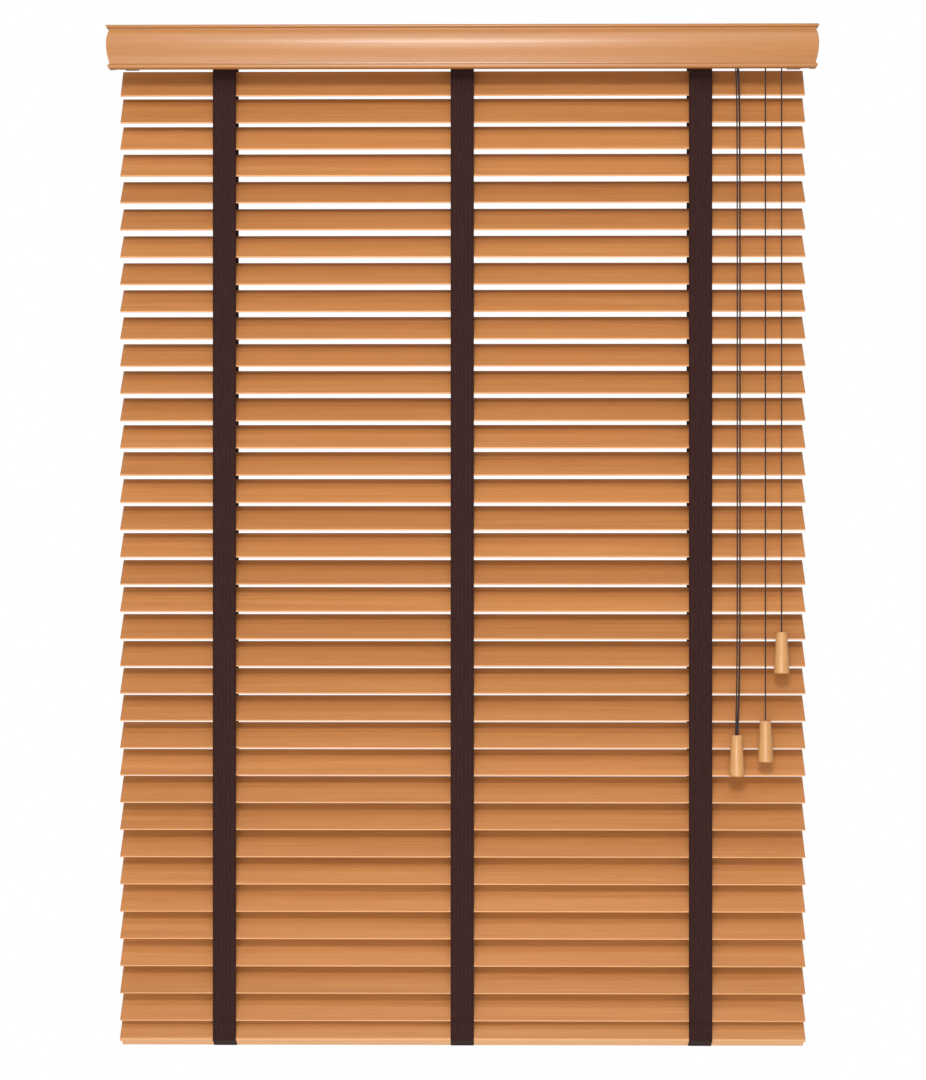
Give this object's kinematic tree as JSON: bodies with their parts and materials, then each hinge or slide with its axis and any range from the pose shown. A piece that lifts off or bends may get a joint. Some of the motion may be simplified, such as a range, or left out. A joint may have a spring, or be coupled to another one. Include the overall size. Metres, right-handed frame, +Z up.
{
  "type": "venetian blind",
  "caption": "Venetian blind with tilting timber slats on woven ladder tapes, moulded valance, cord tilter and lift cord with turned tassels.",
  "frame": {"origin": "on the wall plane at the centre of the four wall screw holes, level with the head rail's mid height", "axes": "+X along the slats to the right seen from the room, +Y from the room into the wall, +Z up"},
  "size_m": [1.11, 0.09, 1.6024],
  "materials": {
    "slat_wood": "satin stained timber, straight grain along the slat",
    "rail_wood": "satin stained timber",
    "valance_wood": "semi-gloss lacquered timber moulding",
    "tassel_wood": "satin turned timber",
    "woven_tape": "ribbed woven webbing",
    "cord": "braided cord",
    "painted_steel": "satin enamel",
    "spring_steel": "bright",
    "zinc_steel": "zinc plated",
    "brass": "turned",
    "pale_plastic": "moulded",
    "brown_plastic": "moulded"
  },
  "bodies": {
    "root": {"head_rail": "painted_steel", "wall_brackets": "painted_steel", "valance_board": "valance_wood", "valance_returns": "valance_wood", "valance_clips": "spring_steel", "drum_cradles": "pale_plastic", "tilter_housing": "pale_plastic", "cord_lock_body": "painted_steel", "lift_pull_cords": "cord", "tilt_cords": "cord"},
    "lift_cords": {"inner_lift_cords": "cord"},
    "bottom_rail": {"bottom_rail": "rail_wood", "tape_plugs": "brown_plastic"},
    "slat_01": {"slat_01": "slat_wood"},
    "slat_02": {"slat_02": "slat_wood"},
    "slat_03": {"slat_03": "slat_wood"},
    "slat_04": {"slat_04": "slat_wood"},
    "slat_05": {"slat_05": "slat_wood"},
    "slat_06": {"slat_06": "slat_wood"},
    "slat_07": {"slat_07": "slat_wood"},
    "slat_08": {"slat_08": "slat_wood"},
    "slat_09": {"slat_09": "slat_wood"},
    "slat_10": {"slat_10": "slat_wood"},
    "slat_11": {"slat_11": "slat_wood"},
    "slat_12": {"slat_12": "slat_wood"},
    "slat_13": {"slat_13": "slat_wood"},
    "slat_14": {"slat_14": "slat_wood"},
    "slat_15": {"slat_15": "slat_wood"},
    "slat_16": {"slat_16": "slat_wood"},
    "slat_17": {"slat_17": "slat_wood"},
    "slat_18": {"slat_18": "slat_wood"},
    "slat_19": {"slat_19": "slat_wood"},
    "slat_20": {"slat_20": "slat_wood"},
    "slat_21": {"slat_21": "slat_wood"},
    "slat_22": {"slat_22": "slat_wood"},
    "slat_23": {"slat_23": "slat_wood"},
    "slat_24": {"slat_24": "slat_wood"},
    "slat_25": {"slat_25": "slat_wood"},
    "slat_26": {"slat_26": "slat_wood"},
    "slat_27": {"slat_27": "slat_wood"},
    "slat_28": {"slat_28": "slat_wood"},
    "slat_29": {"slat_29": "slat_wood"},
    "slat_30": {"slat_30": "slat_wood"},
    "slat_31": {"slat_31": "slat_wood"},
    "slat_32": {"slat_32": "slat_wood"},
    "slat_33": {"slat_33": "slat_wood"},
    "slat_34": {"slat_34": "slat_wood"},
    "slat_35": {"slat_35": "slat_wood"},
    "tape_front": {"ladder_tape_front": "woven_tape"},
    "tape_back": {"ladder_tape_back": "woven_tape"},
    "tilt_shaft": {"tilt_rod": "zinc_steel", "ladder_drums": "pale_plastic", "tilter_gear": "pale_plastic"},
    "worm": {"tilter_worm": "pale_plastic"},
    "lock_roller": {"cord_lock_roller": "brass"},
    "lift_tassel": {"lift_tassel": "tassel_wood"},
    "tilt_tassel_left": {"tilt_tassel_left": "tassel_wood"},
    "tilt_tassel_right": {"tilt_tassel_right": "tassel_wood"},
    "gate_left": {"bracket_gate_left": "painted_steel"},
    "gate_right": {"bracket_gate_right": "painted_steel"}
  },
  "joints": [
    {"name": "rail_lift", "type": "slide", "parent": "root", "child": "lift_cords", "axis": [0, 0, 1], "range_m": [0, 0.012], "deforming": ["ladder_tape_front", "ladder_tape_back"]},
    {"name": "slat_tilt", "type": "hinge", "parent": "lift_cords", "child": "bottom_rail", "pos_m": [0, -0.032, -1.5459], "axis": [1, 0, 0], "range_deg": [-113.5, 16], "deforming": ["inner_lift_cords"]},
    {"name": "slat_01_tilt", "type": "hinge", "parent": "root", "child": "slat_01", "pos_m": [0, -0.032, -0.053], "axis": [1, 0, 0], "range_deg": [-141.34, 20.44]},
    {"name": "slat_02_tilt", "type": "hinge", "parent": "root", "child": "slat_02", "pos_m": [0, -0.032, -0.096], "axis": [1, 0, 0], "range_deg": [-136.8, 19.8]},
    {"name": "slat_03_tilt", "type": "hinge", "parent": "root", "child": "slat_03", "pos_m": [0, -0.032, -0.139], "axis": [1, 0, 0], "range_deg": [-126.59, 18.36]},
    {"name": "slat_04_tilt", "type": "hinge", "parent": "root", "child": "slat_04", "pos_m": [0, -0.032, -0.182], "axis": [1, 0, 0], "range_deg": [-122.05, 17.72]},
    {"name": "slat_05_tilt", "type": "hinge", "parent": "root", "child": "slat_05", "pos_m": [0, -0.032, -0.225], "axis": [1, 0, 0], "range_deg": [-116.37, 16.92]},
    {"name": "slat_06_tilt", "type": "hinge", "parent": "root", "child": "slat_06", "pos_m": [0, -0.032, -0.268], "axis": [1, 0, 0], "range_deg": [-114.1, 16.6]},
    {"name": "slat_07_tilt", "type": "hinge", "parent": "root", "child": "slat_07", "pos_m": [0, -0.032, -0.311], "axis": [1, 0, 0], "range_deg": [-114.1, 16.6]},
    {"name": "slat_08_tilt", "type": "hinge", "parent": "root", "child": "slat_08", "pos_m": [0, -0.032, -0.354], "axis": [1, 0, 0], "range_deg": [-114.1, 16.6]},
    {"name": "slat_09_tilt", "type": "hinge", "parent": "root", "child": "slat_09", "pos_m": [0, -0.032, -0.397], "axis": [1, 0, 0], "range_deg": [-114.1, 16.6]},
    {"name": "slat_10_tilt", "type": "hinge", "parent": "root", "child": "slat_10", "pos_m": [0, -0.032, -0.44], "axis": [1, 0, 0], "range_deg": [-114.1, 16.6]},
    {"name": "slat_11_tilt", "type": "hinge", "parent": "root", "child": "slat_11", "pos_m": [0, -0.032, -0.483], "axis": [1, 0, 0], "range_deg": [-114.1, 16.6]},
    {"name": "slat_12_tilt", "type": "hinge", "parent": "root", "child": "slat_12", "pos_m": [0, -0.032, -0.526], "axis": [1, 0, 0], "range_deg": [-114.1, 16.6]},
    {"name": "slat_13_tilt", "type": "hinge", "parent": "root", "child": "slat_13", "pos_m": [0, -0.032, -0.569], "axis": [1, 0, 0], "range_deg": [-114.1, 16.6]},
    {"name": "slat_14_tilt", "type": "hinge", "parent": "root", "child": "slat_14", "pos_m": [0, -0.032, -0.612], "axis": [1, 0, 0], "range_deg": [-114.1, 16.6]},
    {"name": "slat_15_tilt", "type": "hinge", "parent": "root", "child": "slat_15", "pos_m": [0, -0.032, -0.655], "axis": [1, 0, 0], "range_deg": [-114.1, 16.6]},
    {"name": "slat_16_tilt", "type": "hinge", "parent": "root", "child": "slat_16", "pos_m": [0, -0.032, -0.698], "axis": [1, 0, 0], "range_deg": [-114.1, 16.6]},
    {"name": "slat_17_tilt", "type": "hinge", "parent": "root", "child": "slat_17", "pos_m": [0, -0.032, -0.741], "axis": [1, 0, 0], "range_deg": [-114.1, 16.6]},
    {"name": "slat_18_tilt", "type": "hinge", "parent": "root", "child": "slat_18", "pos_m": [0, -0.032, -0.784], "axis": [1, 0, 0], "range_deg": [-114.1, 16.6]},
    {"name": "slat_19_tilt", "type": "hinge", "parent": "root", "child": "slat_19", "pos_m": [0, -0.032, -0.827], "axis": [1, 0, 0], "range_deg": [-114.1, 16.6]},
    {"name": "slat_20_tilt", "type": "hinge", "parent": "root", "child": "slat_20", "pos_m": [0, -0.032, -0.87], "axis": [1, 0, 0], "range_deg": [-114.1, 16.6]},
    {"name": "slat_21_tilt", "type": "hinge", "parent": "root", "child": "slat_21", "pos_m": [0, -0.032, -0.913], "axis": [1, 0, 0], "range_deg": [-114.1, 16.6]},
    {"name": "slat_22_tilt", "type": "hinge", "parent": "root", "child": "slat_22", "pos_m": [0, -0.032, -0.956], "axis": [1, 0, 0], "range_deg": [-114.1, 16.6]},
    {"name": "slat_23_tilt", "type": "hinge", "parent": "root", "child": "slat_23", "pos_m": [0, -0.032, -0.999], "axis": [1, 0, 0], "range_deg": [-114.1, 16.6]},
    {"name": "slat_24_tilt", "type": "hinge", "parent": "root", "child": "slat_24", "pos_m": [0, -0.032, -1.042], "axis": [1, 0, 0], "range_deg": [-114.1, 16.6]},
    {"name": "slat_25_tilt", "type": "hinge", "parent": "root", "child": "slat_25", "pos_m": [0, -0.032, -1.085], "axis": [1, 0, 0], "range_deg": [-114.1, 16.6]},
    {"name": "slat_26_tilt", "type": "hinge", "parent": "root", "child": "slat_26", "pos_m": [0, -0.032, -1.128], "axis": [1, 0, 0], "range_deg": [-114.1, 16.6]},
    {"name": "slat_27_tilt", "type": "hinge", "parent": "root", "child": "slat_27", "pos_m": [0, -0.032, -1.171], "axis": [1, 0, 0], "range_deg": [-114.1, 16.6]},
    {"name": "slat_28_tilt", "type": "hinge", "parent": "root", "child": "slat_28", "pos_m": [0, -0.032, -1.214], "axis": [1, 0, 0], "range_deg": [-114.1, 16.6]},
    {"name": "slat_29_tilt", "type": "hinge", "parent": "root", "child": "slat_29", "pos_m": [0, -0.032, -1.257], "axis": [1, 0, 0], "range_deg": [-114.1, 16.6]},
    {"name": "slat_30_tilt", "type": "hinge", "parent": "root", "child": "slat_30", "pos_m": [0, -0.032, -1.3], "axis": [1, 0, 0], "range_deg": [-114.1, 16.6]},
    {"name": "slat_31_tilt", "type": "hinge", "parent": "root", "child": "slat_31", "pos_m": [0, -0.032, -1.343], "axis": [1, 0, 0], "range_deg": [-114.1, 16.6]},
    {"name": "slat_32_tilt", "type": "hinge", "parent": "root", "child": "slat_32", "pos_m": [0, -0.032, -1.386], "axis": [1, 0, 0], "range_deg": [-114.1, 16.6]},
    {"name": "slat_33_tilt", "type": "hinge", "parent": "root", "child": "slat_33", "pos_m": [0, -0.032, -1.429], "axis": [1, 0, 0], "range_deg": [-114.1, 16.6]},
    {"name": "slat_34_tilt", "type": "hinge", "parent": "root", "child": "slat_34", "pos_m": [0, -0.032, -1.472], "axis": [1, 0, 0], "range_deg": [-114.1, 16.6]},
    {"name": "slat_35_tilt", "type": "hinge", "parent": "root", "child": "slat_35", "pos_m": [0, -0.032, -1.515], "axis": [1, 0, 0], "range_deg": [-114.1, 16.6]},
    {"name": "tape_front_swing", "type": "hinge", "parent": "slat_18", "child": "tape_front", "pos_m": [0, -0.04742, -0.80174], "axis": [1, 0, 0], "range_deg": [-16.6, 114.1]},
    {"name": "tape_back_swing", "type": "hinge", "parent": "slat_18", "child": "tape_back", "pos_m": [0, -0.01658, -0.76626], "axis": [1, 0, 0], "range_deg": [-16.6, 114.1]},
    {"name": "tilt_rod_turn", "type": "hinge", "parent": "root", "child": "tilt_shaft", "pos_m": [0, -0.032, 0], "axis": [1, 0, 0], "range_deg": [-227.6, 32.6]},
    {"name": "tilter_worm_turn", "type": "hinge", "parent": "root", "child": "worm", "pos_m": [0.4863, -0.032, -0.013], "axis": [0, 1, 0], "range_deg": [-115, 797.5]},
    {"name": "tilt_pull_left", "type": "slide", "parent": "root", "child": "tilt_tassel_left", "axis": [0, 0, 1], "range_m": [-0.0256, 0.1757], "deforming": ["tilt_cords"]},
    {"name": "tilt_pull_right", "type": "slide", "parent": "root", "child": "tilt_tassel_right", "axis": [0, 0, 1], "range_m": [-0.1757, 0.0256]},
    {"name": "lift_pull", "type": "slide", "parent": "root", "child": "lift_tassel", "axis": [0, 0, 1], "range_m": [-0.0125, 0.0005], "deforming": ["lift_pull_cords"]},
    {"name": "lock_roller_turn", "type": "hinge", "parent": "root", "child": "lock_roller", "pos_m": [0.429, -0.0669, -0.013], "axis": [1, 0, 0], "range_deg": [-1, 172.89]},
    {"name": "bracket_gate_left_slide", "type": "slide", "parent": "root", "child": "gate_left", "axis": [0, 0, 1], "range_m": [0, 0.045]},
    {"name": "bracket_gate_right_slide", "type": "slide", "parent": "root", "child": "gate_right", "axis": [0, 0, 1], "range_m": [0, 0.045]}
  ],
  "couplings": [
    {"joint": "slat_01_tilt", "follows": "slat_tilt", "ratio": 1.24},
    {"joint": "slat_02_tilt", "follows": "slat_tilt", "ratio": 1.2},
    {"joint": "slat_03_tilt", "follows": "slat_tilt", "ratio": 1.11},
    {"joint": "slat_04_tilt", "follows": "slat_tilt", "ratio": 1.07},
    {"joint": "slat_05_tilt", "follows": "slat_tilt", "ratio": 1.02},
    {"joint": "slat_06_tilt", "follows": "slat_tilt", "ratio": 1},
    {"joint": "slat_07_tilt", "follows": "slat_tilt", "ratio": 1},
    {"joint": "slat_08_tilt", "follows": "slat_tilt", "ratio": 1},
    {"joint": "slat_09_tilt", "follows": "slat_tilt", "ratio": 1},
    {"joint": "slat_10_tilt", "follows": "slat_tilt", "ratio": 1},
    {"joint": "slat_11_tilt", "follows": "slat_tilt", "ratio": 1},
    {"joint": "slat_12_tilt", "follows": "slat_tilt", "ratio": 1},
    {"joint": "slat_13_tilt", "follows": "slat_tilt", "ratio": 1},
    {"joint": "slat_14_tilt", "follows": "slat_tilt", "ratio": 1},
    {"joint": "slat_15_tilt", "follows": "slat_tilt", "ratio": 1},
    {"joint": "slat_16_tilt", "follows": "slat_tilt", "ratio": 1},
    {"joint": "slat_17_tilt", "follows": "slat_tilt", "ratio": 1},
    {"joint": "slat_18_tilt", "follows": "slat_tilt", "ratio": 1},
    {"joint": "slat_19_tilt", "follows": "slat_tilt", "ratio": 1},
    {"joint": "slat_20_tilt", "follows": "slat_tilt", "ratio": 1},
    {"joint": "slat_21_tilt", "follows": "slat_tilt", "ratio": 1},
    {"joint": "slat_22_tilt", "follows": "slat_tilt", "ratio": 1},
    {"joint": "slat_23_tilt", "follows": "slat_tilt", "ratio": 1},
    {"joint": "slat_24_tilt", "follows": "slat_tilt", "ratio": 1},
    {"joint": "slat_25_tilt", "follows": "slat_tilt", "ratio": 1},
    {"joint": "slat_26_tilt", "follows": "slat_tilt", "ratio": 1},
    {"joint": "slat_27_tilt", "follows": "slat_tilt", "ratio": 1},
    {"joint": "slat_28_tilt", "follows": "slat_tilt", "ratio": 1},
    {"joint": "slat_29_tilt", "follows": "slat_tilt", "ratio": 1},
    {"joint": "slat_30_tilt", "follows": "slat_tilt", "ratio": 1},
    {"joint": "slat_31_tilt", "follows": "slat_tilt", "ratio": 1},
    {"joint": "slat_32_tilt", "follows": "slat_tilt", "ratio": 1},
    {"joint": "slat_33_tilt", "follows": "slat_tilt", "ratio": 1},
    {"joint": "slat_34_tilt", "follows": "slat_tilt", "ratio": 1},
    {"joint": "slat_35_tilt", "follows": "slat_tilt", "ratio": 1},
    {"joint": "tape_front_swing", "follows": "slat_tilt", "ratio": -1},
    {"joint": "tape_back_swing", "follows": "slat_tilt", "ratio": -1},
    {"joint": "tilt_rod_turn", "follows": "slat_tilt", "ratio": 2},
    {"joint": "tilter_worm_turn", "follows": "slat_tilt", "ratio": -7},
    {"joint": "tilt_pull_left", "follows": "slat_tilt", "m_per_rad": -0.0882},
    {"joint": "tilt_pull_right", "follows": "slat_tilt", "m_per_rad": 0.0882},
    {"joint": "lift_pull", "follows": "rail_lift", "ratio": -1},
    {"joint": "lock_roller_turn", "follows": "rail_lift", "rad_per_m": 250}
  ]
}
